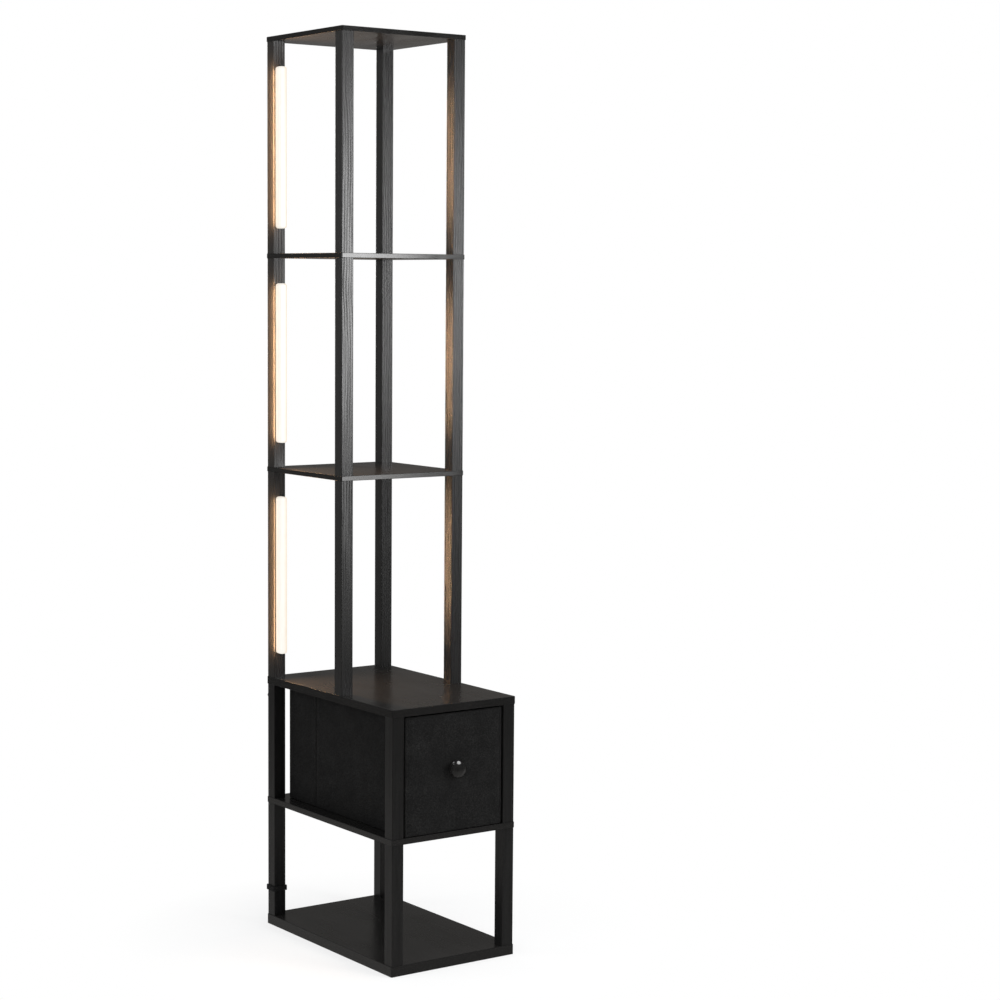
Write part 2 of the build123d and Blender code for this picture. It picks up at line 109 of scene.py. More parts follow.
# %% Nodes and finishes


def node(tree, kind, inputs=None, **settings):
    """Adds a shader node, sets it, and sets or links its inputs by name."""
    made = tree.nodes.new("ShaderNode" + kind)
    for key, value in settings.items():
        setattr(made, key, value)
    for key, value in (inputs or {}).items():
        if isinstance(value, bpy.types.NodeSocket):
            tree.links.new(value, made.inputs[key])
        else:
            made.inputs[key].default_value = value
    return made


def new_finish(name):
    """A material with its tree, its shader and its Object coordinates."""
    finish = bpy.data.materials.new(name)
    finish.use_nodes = True
    tree = finish.node_tree
    shader = tree.nodes["Principled BSDF"]
    place = node(tree, "TexCoord").outputs["Object"]
    return finish, tree, shader, place


# %% [markdown]
# Patterns come next. A Mapping node stretches a noise, so that a grain can run along a
# board. A ramp turns the pattern into colours, and a range turns it into a roughness.

# %% Patterns


def noise(tree, place, scale, detail=2.0, distortion=0.0):
    """Noise whose features are 1 / scale metres along each axis."""
    stretched = node(tree, "Mapping", {"Vector": place, "Scale": scale}).outputs["Vector"]
    made = node(
        tree, "TexNoise",
        {"Vector": stretched, "Scale": 1.0, "Detail": detail, "Distortion": distortion},
    )
    return made.outputs["Fac"]


def ramp(tree, factor, *stops):
    """A colour ramp through (place, grey or colour) stops."""
    made = node(tree, "ValToRGB", {"Fac": factor})
    elements = made.color_ramp.elements
    while len(elements) < len(stops):
        elements.new(0.5)
    for element, (place, tone) in zip(elements, stops):
        element.position = place
        colour = tone if isinstance(tone, tuple) else (tone, tone, tone)
        element.color = (*colour, 1.0)
    return made.outputs["Color"]


def spread(tree, value, low, high, new_low, new_high):
    """Maps a value's range on to another one, held at both ends."""
    made = node(
        tree, "MapRange",
        {"Value": value, "From Min": low, "From Max": high, "To Min": new_low, "To Max": new_high},
    )
    return made.outputs["Result"]


# %% [markdown]
# A finish often needs a sum or a mix of two patterns. Math and Mix nodes do that, and
# these helpers hide their numbered sockets. The last two close a finish: one gives it
# relief, and the other hands what was made to the shader.

# %% Sums, mixes and relief


def combine(tree, operation, first, second):
    """One number from two, by a sum, a product and so on."""
    return node(tree, "Math", {0: first, 1: second}, operation=operation).outputs["Value"]


def cosine(tree, turns):
    """The cosine of a number of full turns."""
    angle = combine(tree, "MULTIPLY", turns, 2 * math.pi)
    return node(tree, "Math", {0: angle}, operation="COSINE").outputs["Value"]


def weighed(tree, first, first_weight, second, second_weight):
    """The sum of two values, each times its weight."""
    return combine(
        tree, "ADD",
        combine(tree, "MULTIPLY", first, first_weight),
        combine(tree, "MULTIPLY", second, second_weight),
    )


def mix_numbers(tree, share, first, second):
    """Goes from one number to another as the share rises from 0 to 1."""
    return node(tree, "Mix", {0: share, 2: first, 3: second}).outputs[0]


def mix_colours(tree, share, first, second):
    """Goes from one colour to another as the share rises from 0 to 1."""
    return node(tree, "Mix", {0: share, 6: first, 7: second}, data_type="RGBA").outputs[2]


def mix_shaders(tree, share, first, second):
    """Goes from one shader node to another as the share rises from 0 to 1."""
    return node(tree, "MixShader", {0: share, 1: first.outputs[0], 2: second.outputs[0]})


def bump(tree, shader, height, metres, strength):
    """Gives a shader a relief of that depth in metres."""
    made = node(tree, "Bump", {"Height": height, "Distance": metres, "Strength": strength})
    tree.links.new(made.outputs["Normal"], shader.inputs["Normal"])


def feed(tree, shader, **sockets):
    """Links or sets a shader's inputs, with _ for each space in a name."""
    for key, value in sockets.items():
        name = key.replace("_", " ")
        if isinstance(value, bpy.types.NodeSocket):
            tree.links.new(value, shader.inputs[name])
        else:
            shader.inputs[name].default_value = value


# %% [markdown]
# ## Floor and surround
# The lamp stands on a white studio floor that runs out into a white surround, with only
# a faint soft shadow. Turning up the lights until the floor burns out would bleach the
# lamp too, so the white comes from Light Path: rays from the camera see white, while the
# light that falls on the lamp stays plain. Only the floor close to the base keeps a share
# of its real shading, which is what holds the shadow. Black gloss is a mirror of its
# room, and the boards in the photograph mirror a dim one, so glossy rays see the floor as
# a soft grey that fades with distance.

# %% White floor that keeps a shadow
floor_radius = 7.0
floor_drop = 0.0004
floor_tone = (0.92, 0.92, 0.92, 1)
near_white = 0.76
shade_start, shade_end = 0.25, 0.5
glow_start, glow_end = 0.9, 2.2

bpy.ops.object.select_all(action="DESELECT")
bpy.ops.mesh.primitive_circle_add(
    vertices=96, radius=floor_radius, fill_type="NGON", location=(0, 0, -floor_drop)
)
floor = bpy.context.object
floor.name = "studio_floor"

floor_finish, tree, shader, place = new_finish("studio_floor_white")
tree.nodes.remove(shader)
rays = node(tree, "LightPath").outputs
away = node(tree, "VectorMath", {0: place}, operation="LENGTH").outputs["Value"]
shown_white = combine(tree, "MAXIMUM", rays["Is Camera Ray"], rays["Is Transmission Ray"])
unshaded = spread(tree, away, shade_start, shade_end, near_white, 1.0)
white_share = combine(tree, "MULTIPLY", shown_white, unshaded)
lit_floor = node(tree, "BsdfDiffuse", {"Color": floor_tone})
white_floor = node(tree, "Emission", {"Color": (1, 1, 1, 1), "Strength": 1.0})
seen = mix_shaders(tree, white_share, lit_floor, white_floor)
across = node(tree, "SeparateXYZ", {"Vector": place}).outputs["X"]
to_left = spread(tree, across, -0.3, 0.3, 1.0, 0.0)
left_glow = spread(tree, away, glow_start, glow_end, 0.38, 0.13)
right_glow = spread(tree, away, glow_start, glow_end, 0.42, 0.19)
floor_glow = mix_numbers(tree, to_left, right_glow, left_glow)
dim_floor = node(tree, "Emission", {"Color": (1.0, 0.97, 0.94, 1), "Strength": floor_glow})
mirrored = mix_shaders(tree, rays["Is Glossy Ray"], seen, dim_floor)
tree.links.new(mirrored.outputs[0], tree.nodes["Material Output"].inputs["Surface"])
floor.data.materials.append(floor_finish)
print("floor radius:", floor_radius, "m")

# %% [markdown]
# The surround is the world's own colour. The camera sees it white, and matt surfaces get
# an even light from it. To a mirror it is dim: brighter at the left than at the right,
# and a little brighter low down at the far right, which is the part that the underside of
# the top board shows in the photograph. Directions in the world are plain X, Y and Z, so
# three ranges pick that part out.

# %% Surround
ambient_strength = 0.6
mirror_left, mirror_right = 0.19, 0.125
far_floor_rise = 0.08

world = bpy.data.worlds.new("studio")
bpy.context.scene.world = world
world.use_nodes = True
tree = world.node_tree
tree.nodes.clear()
rays = node(tree, "LightPath").outputs
direction = node(tree, "TexCoord").outputs["Generated"]
toward = node(tree, "SeparateXYZ", {"Vector": direction}).outputs
side_level = spread(tree, toward["X"], -0.5, 0.5, mirror_left, mirror_right)
far_floor = spread(tree, toward["Z"], -0.05, 0.0, far_floor_rise, 0.0)
to_right = spread(tree, toward["X"], 0.1, 0.4, 0.0, 1.0)
to_rear = spread(tree, toward["Y"], 0.3, 0.6, 0.0, 1.0)
rear_right = combine(tree, "MULTIPLY", to_right, to_rear)
mirror_level = combine(tree, "ADD", side_level, combine(tree, "MULTIPLY", far_floor, rear_right))

ambient = node(tree, "Background", {"Color": (0.97, 0.985, 1.0, 1), "Strength": ambient_strength})
mirror_grey = node(tree, "Background", {"Color": (1.0, 0.965, 0.925, 1), "Strength": mirror_level})
white = node(tree, "Background", {"Color": (1, 1, 1, 1), "Strength": 1.0})
mirrored = mix_shaders(tree, rays["Is Glossy Ray"], ambient, mirror_grey)
shown_white = combine(tree, "MAXIMUM", rays["Is Camera Ray"], rays["Is Transmission Ray"])
seen = mix_shaders(tree, shown_white, mirrored, white)
end = node(tree, "OutputWorld")
tree.links.new(seen.outputs[0], end.inputs["Surface"])
bpy.context.scene.view_settings.view_transform = "Standard"
print("view transform:", bpy.context.scene.view_settings.view_transform)

# %% [markdown]
# ## Studio lights
# In the photograph the front faces of the upper posts shine and the front edge of the
# upper shelf is almost white at its left end, while the lower legs stay black. That is
# a large soft box at the front right, at about the height of the upper shelf: black
# faces show it where they mirror it and nowhere else. A lower, weaker box at the same
# side does this for the lower shelf, the table and the lowest posts, and the rear left
# posts, which carry the bars, get a weaker copy of the large one. A box overhead lights
# the boards, and a rounded one puts the white spot on the knob. Of the two at the left,
# the strong one is for the posts and the weak one for the rest. The last two fill the
# right and the rear, which the photograph's view never sees.

# %% Soft boxes


def soft_box(name, place, aim, width, height, watts):
    """An area light at a place, turned to a point."""
    bpy.ops.object.select_all(action="DESELECT")
    bpy.ops.object.light_add(type="AREA", location=place)
    box = bpy.context.object
    box.name = name
    box.data.shape = "RECTANGLE"
    box.data.size = width
    box.data.size_y = height
    box.data.energy = watts
    box.visible_camera = False
    box.rotation_mode = "QUATERNION"
    box.rotation_quaternion = (Vector(aim) - Vector(place)).to_track_quat("-Z", "Y")
    return box


front_place = (1.16, -2.55, 1.2)
front_aim = (0.0, 0.0, 1.18)
left_place = (-2.6, 0.9, 1.6)
left_aim = (0.0, 0.0, 1.1)
fill_aim = (0.0, 0.0, 0.9)

front_box = soft_box("front_box", front_place, front_aim, width=0.86, height=0.8, watts=42)
low_box = soft_box("low_box", (1.16, -2.55, 0.61), (0.0, 0.0, 0.61), width=0.86, height=0.4, watts=8.6)
rear_box = soft_box("rear_box", front_place, front_aim, width=0.86, height=0.8, watts=15)
top_box = soft_box("top_box", (0.15, -0.55, 2.9), (0.0, 0.05, 0.4), width=1.0, height=1.0, watts=30)
knob_box = soft_box("knob_box", (0.77, -1.0, 2.66), (0.0, -0.22, 0.345), width=1.95, height=1.4, watts=66)
knob_box.data.shape = "ELLIPSE"
left_box = soft_box("left_box", left_place, left_aim, width=1.2, height=1.2, watts=48)
side_box = soft_box("side_box", left_place, left_aim, width=1.2, height=1.2, watts=18)
right_fill = soft_box("right_fill", (2.7, 0.7, 1.7), fill_aim, width=1.4, height=1.8, watts=45)
rear_fill = soft_box("rear_fill", (0.85, 2.9, 1.75), fill_aim, width=1.0, height=1.8, watts=60)

# %% [markdown]
# In a studio, a card held in front of a lamp keeps its light off the pieces that should
# stay dark. Light linking does the same here, with a list of pieces that a light includes
# or excludes. The large front box lights the upper tiers and the drawer's cloth, while the
# table, the boards below it, the legs, the lowest posts, the rear left posts and the knob
# stay out of its light. So the posts have no bright feet, and the knob has a single
# highlight. The fills leave out the boards, the bars, the knob and the floor, so they
# change next to nothing that the photograph shows.

# %% Cards in front of the lamps


def linked_pieces(light, pieces, state):
    """Gives a light a list of pieces that it includes or excludes."""
    listed = bpy.data.collections.new(light.name + "_card")
    for piece in pieces:
        listed.objects.link(piece)
    for member in listed.collection_objects:
        member.light_linking.link_state = state
    light.light_linking.receiver_collection = listed
    print(light.name, state.lower(), len(pieces), "pieces")


def named(part):
    """The CAD pieces whose names hold these letters."""
    return [piece for name, piece in nodes.items() if part in name]


board_names = (
    "base_board", "drawer_shelf", "table_top", "lower_shelf", "upper_shelf", "top_board",
)
boards = [nodes[name] for name in board_names]
low_boards = [nodes[name] for name in ("lower_shelf", "table_top", "drawer_shelf")]
knob = nodes["bin_knob"]
posts = named("_post_")
rear_left_posts = named("_post_rear_left")
low_posts = [post for post in named("lower_post_") if post not in rear_left_posts]
dark_boards = [nodes[name] for name in ("table_top", "drawer_shelf", "base_board")]
dark_pieces = dark_boards + named("_leg_") + [knob]
unfilled = boards + named("_bar_") + [knob, floor]

linked_pieces(front_box, dark_pieces + rear_left_posts + low_posts, "EXCLUDE")
linked_pieces(low_box, low_boards + low_posts, "INCLUDE")
linked_pieces(rear_box, rear_left_posts, "INCLUDE")
linked_pieces(top_box, [knob, nodes["drawer_shelf"]], "EXCLUDE")
linked_pieces(knob_box, [knob], "INCLUDE")
linked_pieces(left_box, posts, "INCLUDE")
linked_pieces(side_box, posts + [knob, nodes["top_board"]], "EXCLUDE")
linked_pieces(right_fill, unfilled, "EXCLUDE")
linked_pieces(rear_fill, unfilled, "EXCLUDE")

# %% [markdown]
# ## Black laminate on the boards
# The six boards are fibreboard under a semi-gloss black foil. Close to, such a foil has
# a fine pebble, a faint grain along the board, and clouds where it is a little duller.
# A flat black would look like a hole in the picture, so the pebble goes into the relief
# and the clouds into the roughness. The edges carry a separate edge band, darker and
# glossier than the faces, and the rounded corner between the two is dull. The normal
# tells the three apart.

# %% Board finish
board_relief = 0.00004
arris_dullness = 0.7

board_finish, tree, shader, place = new_finish("board_black")
pebble = noise(tree, place, (1500, 1500, 1500), detail=2)
clouds = noise(tree, place, (22, 9, 22), detail=3)
fibres = noise(tree, place, (420, 14, 420), detail=3, distortion=0.3)
facing = node(tree, "NewGeometry").outputs["Normal"]
upward = node(tree, "SeparateXYZ", {"Vector": facing}).outputs["Z"]
level = node(tree, "Math", {0: upward}, operation="ABSOLUTE").outputs["Value"]
on_face = spread(tree, level, 0.5, 0.9, 0.0, 1.0)
past_edge = spread(tree, level, 0.04, 0.2, 0.0, 1.0)
before_face = spread(tree, level, 0.9, 0.99, 1.0, 0.0)
on_arris = combine(tree, "MULTIPLY", past_edge, before_face)
tone = weighed(tree, fibres, 0.7, pebble, 0.3)
face_colour = ramp(tree, tone, (0.35, (0.0085, 0.0082, 0.0080)), (0.68, (0.0165, 0.0158, 0.0150)))
edge_colour = ramp(tree, tone, (0.35, (0.0045, 0.0044, 0.0042)), (0.68, (0.0085, 0.0082, 0.0079)))
face_gloss = spread(tree, clouds, 0.3, 0.7, 0.20, 0.29)
edge_gloss = spread(tree, clouds, 0.3, 0.7, 0.13, 0.19)
gloss = mix_numbers(tree, on_face, edge_gloss, face_gloss)
feed(
    tree, shader,
    Base_Color=mix_colours(tree, on_face, edge_colour, face_colour),
    Roughness=combine(tree, "ADD", gloss, combine(tree, "MULTIPLY", on_arris, arris_dullness)),
    Specular_IOR_Level=0.4,
)
bump(tree, shader, tone, board_relief, strength=0.4)
print("finish:", board_finish.name)

# %% [markdown]
# ## Open grain on the tower posts
# The posts are wrapped in a black foil that is pressed with the open pores of ash: fine
# dark lines that run up the post, four or five to a face, with a satin ridge between
# them. A picture of wood could be wrapped round, but the pattern would repeat on twelve
# posts. Here the lines are a cosine of X + Y, a length that runs across every upright
# face, so no face is left plain. Slow noise bends the lines as growth rings bend, and a
# longer noise lets each one come and go. A line is darker, duller and deeper, all from
# the same value, because on the real foil one press makes all three.

# %% Post finish
line_pitch = 0.0052
furrow_depth = 0.0002

post_finish, tree, shader, place = new_finish("post_grain")
axes = node(tree, "SeparateXYZ", {"Vector": place}).outputs
across = combine(tree, "ADD", axes["X"], axes["Y"])
slow_bend = noise(tree, place, (9, 9, 5), detail=2)
quick_bend = noise(tree, place, (60, 60, 18), detail=1)
bend = weighed(tree, slow_bend, 3.0, quick_bend, 0.6)
count = combine(tree, "ADD", combine(tree, "DIVIDE", across, line_pitch), bend)
line = spread(tree, cosine(tree, count), -0.1, 0.9, 0.0, 1.0)
strength = spread(tree, noise(tree, place, (150, 150, 9), detail=2), 0.36, 0.60, 0.2, 0.8)
pores = spread(tree, noise(tree, place, (900, 900, 16), detail=2), 0.50, 0.70, 0.0, 0.4)
furrow = combine(tree, "MAXIMUM", combine(tree, "MULTIPLY", line, strength), pores)
clouds = noise(tree, place, (60, 60, 4), detail=2)
dull = spread(tree, furrow, 0.0, 1.0, 0.24, 0.48)
feed(
    tree, shader,
    Base_Color=ramp(tree, furrow, (0.0, (0.0110, 0.0109, 0.0108)), (1.0, (0.0028, 0.0027, 0.0026))),
    Roughness=combine(tree, "ADD", dull, spread(tree, clouds, 0.3, 0.7, -0.03, 0.03)),
    Specular_IOR_Level=0.38,
)
bump(tree, shader, furrow, -furrow_depth, strength=0.3)
print("finish:", post_finish.name, "with a line every", line_pitch * 1000, "mm")

# %% [markdown]
# ## Satin black on the legs
# The legs round the drawer look smoother than the posts: the same foil, but with only a
# trace of upright grain. It is the post's idea with less depth, so the furrows stay
# faint and the roughness barely moves.

# %% Leg finish
leg_relief = 0.00012

leg_finish, tree, shader, place = new_finish("leg_black")
furrows = noise(tree, place, (300, 300, 8), detail=3, distortion=0.2)
pebble = noise(tree, place, (1600, 1600, 700), detail=2)
tone = weighed(tree, furrows, 0.65, pebble, 0.35)
feed(
    tree, shader,
    Base_Color=ramp(tree, tone, (0.36, (0.0055, 0.0055, 0.0055)), (0.64, (0.0125, 0.0124, 0.0122))),
    Roughness=spread(tree, tone, 0.35, 0.65, 0.35, 0.27),
    Specular_IOR_Level=0.3,
)
bump(tree, shader, tone, leg_relief, strength=0.5)
print("finish:", leg_finish.name)

# %% [markdown]
# ## Lit opal bars
# Each bar is an opal cover over a row of small light sources, and in the photograph all
# three are lit. A lamp object inside the cover would need many samples, so the cover
# itself glows. Its colour is a warm white, paler along its middle and tan towards its
# edges and the post, where the opal is seen through more of its wall. The sources under
# the opal are 12 mm apart, so a slight ripple with that pitch runs along the bar.

# %% Bar finish
source_pitch = 0.012
bright_offset = 0.0035

bar_low, bar_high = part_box("lower_bar_cover")
bar_width = bar_high.x - bar_low.x
bright_line = (bar_low.x + bar_high.x) / 2 - bright_offset

opal_finish, tree, shader, place = new_finish("bar_opal")
axes = node(tree, "SeparateXYZ", {"Vector": place}).outputs
ripple = cosine(tree, combine(tree, "DIVIDE", axes["Z"], source_pitch))
milk = noise(tree, place, (160, 160, 40), detail=2)
glow = combine(tree, "ADD", combine(tree, "MULTIPLY", ripple, 0.2), milk)
off_line = combine(tree, "ABSOLUTE", combine(tree, "SUBTRACT", axes["X"], bright_line), 0.0)
to_edge = spread(tree, off_line, 0.2 * bar_width, 0.5 * bar_width, 0.0, 1.0)
to_post = spread(tree, axes["Y"], bar_low.y, bar_high.y, 0.0, 0.8)
dimming = combine(tree, "MAXIMUM", to_edge, to_post)
dimming = combine(tree, "ADD", dimming, combine(tree, "MULTIPLY", glow, -0.1))
feed(
    tree, shader,
    Base_Color=ramp(tree, milk, (0.3, (0.20, 0.19, 0.17)), (0.7, (0.24, 0.23, 0.21))),
    Roughness=spread(tree, milk, 0.3, 0.7, 0.32, 0.4),
    Emission_Color=ramp(tree, dimming, (0.0, (1.0, 0.97, 0.90)), (1.0, (0.92, 0.79, 0.64))),
    Emission_Strength=0.8,
)
print("finish:", opal_finish.name)

# %% [markdown]
# The sources behind the opal face the front, so a bar throws its light forwards and
# hardly any sideways: the post at the front right is tan all the way up, while the one
# at the rear right stays black. The glowing cover alone is too weak for that, so each bar
# has three strip lights, which don't show to the camera. One lies on the bar's face and
# lights the boards, but not the front posts. One at its right corner aims a narrow beam
# at the front right posts and lights nothing else. The third stands off its left corner
# and tints only the posts that carry the bars.

# %% Light from the bars
bar_colour = (1.0, 0.58, 0.30)
face_watts = 2.4
beam_watts = {"lower": 0.205, "middle": 0.25, "upper": 0.21}
beam_lift = {"lower": 0.012, "middle": 0.003, "upper": -0.009}
beam_share = 0.94
beam_spread = 70
beam_facing = (0.736, -0.677, 0)
glow_watts = {"lower": 1.3, "middle": 1.7, "upper": 1.7}
glow_facing = (0.47, 0.88, 0)
face_width, strip_width = 0.011, 0.008
shorter_by = 0.01
face_gap = 0.0015
corner_gap = 0.003
glow_gap = 0.014
glow_back = 0.008


def strip_light(name, place, facing, width, height, watts):
    """A narrow area light in the colour of the bars."""
    strip = soft_box(name, place, Vector(place) + Vector(facing), width, height, watts)
    strip.data.color = bar_colour
    return strip


tiers = ("lower", "middle", "upper")
front_left_posts = [nodes[tier + "_post_front_left"] for tier in tiers]
front_right_posts = [nodes[tier + "_post_front_right"] for tier in tiers]
for tier in tiers:
    bar_low, bar_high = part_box(tier + "_bar_cover")
    middle = (bar_low + bar_high) / 2
    tall = bar_high.z - bar_low.z
    name = tier + "_bar_"

    on_front = (middle.x, bar_low.y - face_gap, middle.z)
    face = strip_light(name + "light", on_front, (0, -1, 0), face_width, tall - shorter_by, face_watts)
    linked_pieces(face, front_right_posts + front_left_posts, "EXCLUDE")

    right_corner = (bar_high.x + corner_gap, bar_low.y - corner_gap, middle.z + beam_lift[tier])
    beam_tall = beam_share * tall
    beam = strip_light(name + "beam", right_corner, beam_facing, strip_width, beam_tall, beam_watts[tier])
    beam.data.shape = "ELLIPSE"
    beam.data.spread = math.radians(beam_spread)
    linked_pieces(beam, front_right_posts, "INCLUDE")

    off_left = (bar_low.x - glow_gap, bar_high.y - glow_back, middle.z)
    glow_tall = tall - shorter_by
    tint = strip_light(name + "glow", off_left, glow_facing, strip_width, glow_tall, glow_watts[tier])
    linked_pieces(tint, rear_left_posts, "INCLUDE")

# %% [markdown]
# ## Lacquered knob, gland and bolts
# The knob is turned wood under a thick black lacquer: nearly a mirror, with the slight
# waviness of paint that has flowed. The gland is moulded black plastic with a fine
# texture, and the bolts are black oxide steel. Each is two close tones with a grain, a
# range of gloss and a depth of relief, so one function makes them all.

# %% Black lacquer, plastic and oxide


def two_tone(name, first, second, scale, gloss, relief, metallic=0.0):
    """A finish that wanders between two tones, with a gloss and a relief of its own."""
    finish, tree, shader, place = new_finish(name)
    grain = noise(tree, place, scale, detail=3)
    feed(
        tree, shader,
        Base_Color=ramp(tree, grain, (0.35, first), (0.65, second)),
        Roughness=spread(tree, grain, 0.3, 0.7, *gloss),
        Metallic=metallic,
    )
    bump(tree, shader, grain, relief, strength=0.4)
    return finish


knob_finish = two_tone("knob_gloss", 0.004, 0.009, (130, 130, 130), (0.13, 0.18), 0.00001)
gland_finish = two_tone("gland_black", 0.010, 0.020, (1800, 1800, 1800), (0.42, 0.55), 0.00005)
bolt_finish = two_tone("bolt_black", 0.020, 0.040, (900, 900, 900), (0.35, 0.5), 0.00003, metallic=0.7)
print("finishes:", [f.name for f in (knob_finish, gland_finish, bolt_finish)])

# %% [markdown]
# ## What is inside
# Studs, inserts, screws, circuit boards, leads and card stiffeners hardly show, but a
# user of the part may open it up, so each gets its real finish: turned steel with fine
# rings, brass, white lacquer, a matt white circuit board, a soft plastic jacket and
# grey card with fibres in it. The same function makes them, from two colours, a grain
# per metre, a range of roughness, a relief in metres and, for metals, a full metallic.

# %% Finishes of the inner pieces
inner_looks = {
    "bright_steel": ((0.52, 0.53, 0.54), (0.62, 0.63, 0.64), (500, 500, 2600), (0.2, 0.34), 0.00003, 1.0),
    "insert_brass": ((0.62, 0.45, 0.18), (0.72, 0.54, 0.24), (600, 600, 2200), (0.24, 0.38), 0.00003, 1.0),
    "bar_plate": ((0.72, 0.72, 0.71), (0.80, 0.80, 0.79), (300, 300, 300), (0.35, 0.45), 0.00002),
    "led_board": ((0.70, 0.71, 0.69), (0.78, 0.79, 0.77), (900, 900, 500), (0.4, 0.55), 0.00002),
    "led_chip": ((0.80, 0.62, 0.16), (0.86, 0.70, 0.24), (1500, 1500, 1500), (0.3, 0.4), 0.00002),
    "lead_jacket": ((0.012, 0.012, 0.012), (0.022, 0.022, 0.022), (900, 900, 200), (0.45, 0.6), 0.00004),
    "greyboard": ((0.22, 0.21, 0.20), (0.32, 0.31, 0.29), (500, 500, 180), (0.85, 0.95), 0.0001),
}
inner_finishes = {name: two_tone(name, *look) for name, look in inner_looks.items()}
print("inner finishes:", sorted(inner_finishes))

# %% [markdown]
# ## Cloth of the drawer bin
# The bin is covered in a black non-woven cloth with a pebbled face, like thin felt that
# has been pressed. It is very matt, with a scatter of paler flecks where fibres lie
# across the face. A woven pattern would be wrong here, so cells give the pebbles and a
# fine noise gives the flecks. The lining is the same kind of cloth, with a finer and
# shallower pebble, and the strap is finer still.

# %% Cloth finishes


def felt(name, dark, pale, cell_scale, relief):
    """Matt pressed felt: pebbles from cells, flecks from noise."""
    finish, tree, shader, place = new_finish(name)
    cells = node(tree, "TexVoronoi", {"Vector": place, "Scale": cell_scale, "Randomness": 1.0})
    pebbles = spread(tree, cells.outputs["Distance"], 0.1, 0.8, 1.0, 0.0)
    flecks = noise(tree, place, (900, 900, 900), detail=3)
    clouds = noise(tree, place, (35, 35, 35), detail=2)
    fleck = spread(tree, flecks, 0.54, 0.68, 0.0, 1.0)
    soft = weighed(tree, pebbles, 0.45, clouds, 0.4)
    tone = combine(tree, "ADD", soft, combine(tree, "MULTIPLY", fleck, 0.5))
    feed(
        tree, shader,
        Base_Color=ramp(tree, tone, (0.38, dark), (0.95, pale)),
        Roughness=spread(tree, tone, 0.2, 0.9, 0.95, 0.78),
        Specular_IOR_Level=0.15,
        Sheen_Weight=0.02,
        Sheen_Roughness=0.5,
    )
    height = combine(tree, "ADD", pebbles, combine(tree, "MULTIPLY", flecks, 0.6))
    bump(tree, shader, height, relief, strength=0.7)
    return finish


cloth_finish = felt("bin_cloth", 0.0037, (0.0200, 0.0200, 0.0196), 620, 0.00045)
lining_finish = felt("bin_lining_cloth", (0.0095, 0.0095, 0.0094), (0.034, 0.034, 0.0335), 900, 0.0002)
strap_finish = felt("strap_black", 0.006, 0.022, 1600, 0.0002)
print("cloths:", cloth_finish.name, lining_finish.name, strap_finish.name)

# %% [markdown]
# ## Finishes on the CAD pieces
# The record of the model says which finish each node takes. Reading it here is safer
# than typing fifty names, and a finish that was forgotten would stop the script.

# %% Give every CAD node its finish
finishes = {
    "board_black": board_finish,
    "post_grain": post_finish,
    "leg_black": leg_finish,
    "bar_opal": opal_finish,
    "knob_gloss": knob_finish,
    "gland_black": gland_finish,
    "bolt_black": bolt_finish,
    "bin_cloth": cloth_finish,
    "bin_lining_cloth": lining_finish,
    "strap_black": strap_finish,
    **inner_finishes,
}
for row in frame["record"]["subparts"]:
    mesh = nodes[row["node"]].data
    mesh.materials.clear()
    mesh.materials.append(finishes[row["material_slot"]])

# %% [markdown]
# ## Tools for modelling by hand
# The cloth pieces are modelled as one would at the desk: add a box of the right size,
# open it, round it, cut a grid into it, then pull the rim over. Operators act on what is
# selected, so a few helpers do the selecting: by place, by direction, or by normal.

# %% Helpers that select
import bmesh

close_by = 1e-5


def add_box(name, low, high):
    """A box between two corners, left in edit mode with its place in its mesh."""
    bpy.ops.object.select_all(action="DESELECT")
    low, high = Vector(low), Vector(high)
    bpy.ops.mesh.primitive_cube_add(size=1, location=(low + high) / 2)
    box = bpy.context.object
    box.name = name
    box.data.name = name
    box.scale = high - low
    bpy.ops.object.transform_apply(location=True, rotation=True, scale=True)
    bpy.ops.object.mode_set(mode="EDIT")
    return box


def pick(piece, kind, test):
    """Selects the vertices, edges or faces that pass a test, in edit mode."""
    bpy.ops.mesh.select_mode(type=kind)
    bpy.ops.mesh.select_all(action="DESELECT")
    shape = bmesh.from_edit_mesh(piece.data)
    shape.normal_update()
    items = {"VERT": shape.verts, "EDGE": shape.edges, "FACE": shape.faces}[kind]
    chosen = [item for item in items if test(item)]
    for item in chosen:
        item.select_set(True)
    shape.select_flush_mode()
    bmesh.update_edit_mesh(piece.data)
    return len(chosen)


def middle_of(edge):
    """The midpoint of an edge."""
    return (edge.verts[0].co + edge.verts[1].co) / 2


def runs_along(edge, axis):
    """True if an edge runs along that axis, 0 to 2 for X to Z."""
    run = edge.verts[1].co - edge.verts[0].co
    return abs(run[axis]) > 0.99 * run.length


# %% [markdown]
# A loop cut needs a window, so the grids are cut by planes instead: one bisect for each
# place along an axis. Where a seam has to lie on a line of the grid, the seam is cut
# first and the stretches between the seams are then divided evenly.

# %% Helpers that cut, close and finish
merge_distance = 0.00005


def cut_at(axis, places):
    """Cuts the whole mesh by planes across an axis, at each place along it."""
    across = [0, 0, 0]
    across[axis] = 1
    for place in places:
        point = [0, 0, 0]
        point[axis] = place
        bpy.ops.mesh.select_all(action="SELECT")
        bpy.ops.mesh.bisect(plane_co=point, plane_no=across)


def even(low, high, step):
    """Places between two ends, about a step apart, without the ends."""
    count = max(1, round((high - low) / step))
    return [low + (high - low) * i / count for i in range(1, count)]


def cut_between(axis, low, high, seams, step):
    """Cuts at each seam, and evenly in the stretches between the seams."""
    cut_at(axis, seams)
    stops = [low] + sorted(seams) + [high]
    for start, end in zip(stops, stops[1:]):
        cut_at(axis, even(start, end, step))


